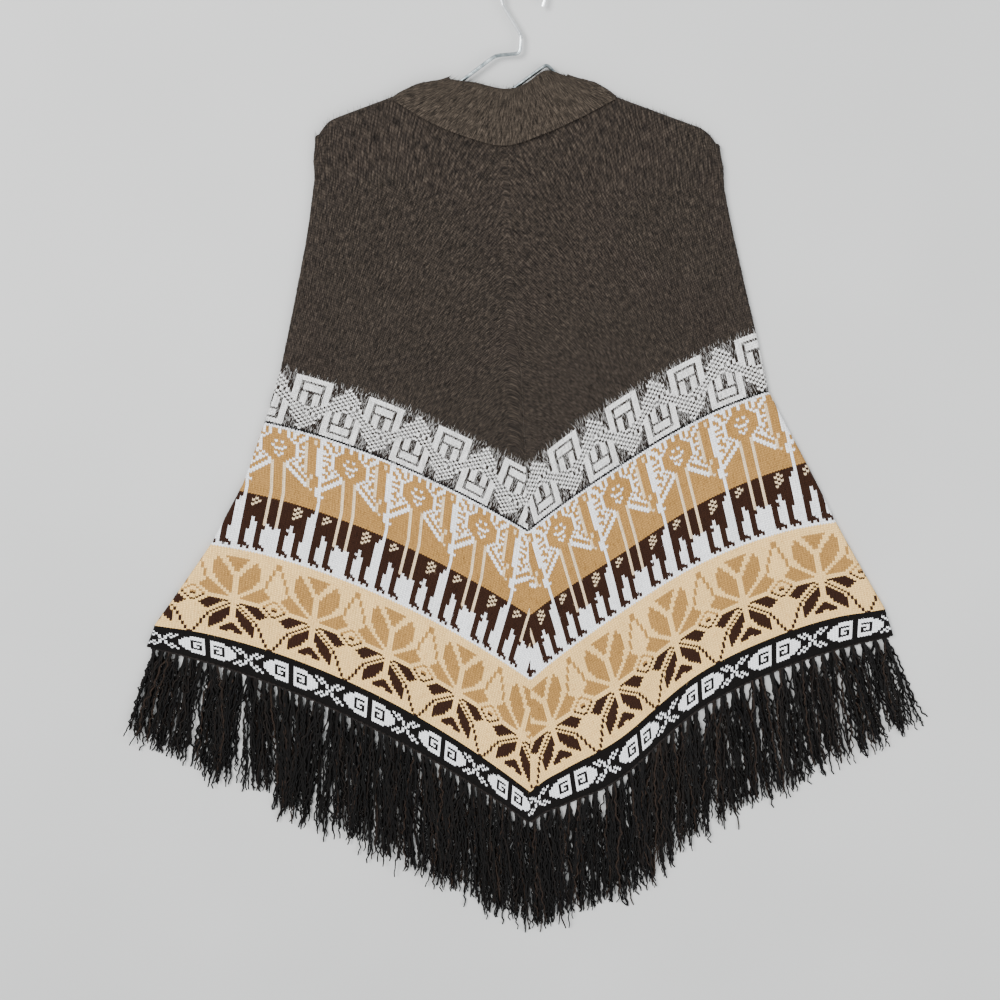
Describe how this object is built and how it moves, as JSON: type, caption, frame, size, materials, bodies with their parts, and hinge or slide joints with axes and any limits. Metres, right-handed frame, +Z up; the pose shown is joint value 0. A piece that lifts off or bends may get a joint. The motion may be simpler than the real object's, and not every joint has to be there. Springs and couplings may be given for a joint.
{
  "type": "andean poncho on a wire hanger",
  "caption": "Knitted Andean poncho laid flat: V-shaped hem with patterned bands, yarn fringe, turned-down collar, bent wire hanger inside.",
  "frame": {"origin": "middle of the bottom of the whole object's box, on the surface it lies on", "axes": "+Z up from the surface, +Y from the hem's tip towards the collar and the hook, +X to the right as seen from above with the front up"},
  "size_m": [0.9374, 1.1004, 0.0152],
  "materials": {
    "patterned_knit": "brushed alpaca-type knit, heathered brown above, bands in white, camel, cream, brown and black below",
    "heathered_knit": "brushed knit in dark heathered brown",
    "fringe_yarn": "crinkled twisted yarn, nearly black brown",
    "zinc_wire": "bright zinc-coated wire"
  },
  "bodies": {
    "root": {"left_panel": "patterned_knit", "right_panel": "patterned_knit", "collar": "heathered_knit", "fringe_front_left": "fringe_yarn", "fringe_front_right": "fringe_yarn", "fringe_back_left": "fringe_yarn", "fringe_back_right": "fringe_yarn", "hanger": "zinc_wire"}
  },
  "joints": []
}
